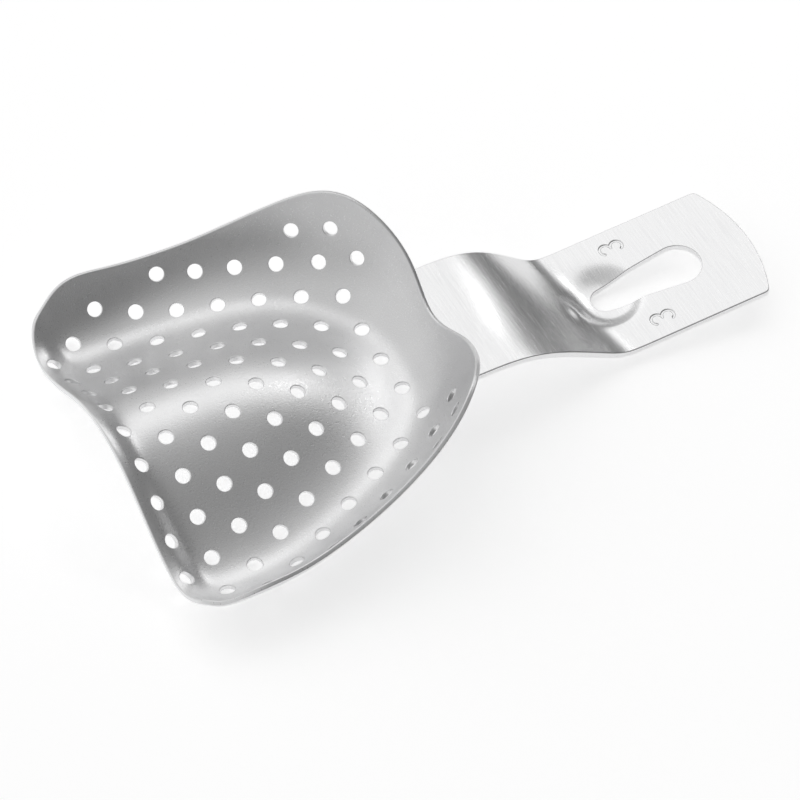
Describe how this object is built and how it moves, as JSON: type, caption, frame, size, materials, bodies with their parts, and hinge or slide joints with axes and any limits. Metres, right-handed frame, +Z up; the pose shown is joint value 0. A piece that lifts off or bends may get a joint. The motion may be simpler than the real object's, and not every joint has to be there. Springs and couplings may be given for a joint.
{
  "type": "dental impression tray",
  "caption": "Perforated steel impression tray for a toothless upper jaw, with a vaulted bowl and a cranked handle with a keyhole slot.",
  "frame": {"origin": "middle of the tray's footprint, on the surface that it stands on with the impression side up", "axes": "+X forward along the handle, away from the bowl; +Y to the side, with the tray the same on both sides; +Z up, out of the impression side"},
  "size_m": [0.1052, 0.0632, 0.0197],
  "materials": {
    "satin_steel": "fine satin, softly tumbled, with bright rounded edges",
    "brushed_steel": "fine cross-brushed stainless steel",
    "weld_steel": "fused steel, unpolished"
  },
  "bodies": {
    "root": {"tray_bowl": "satin_steel", "handle": "brushed_steel", "spot_welds": "weld_steel"}
  },
  "joints": []
}
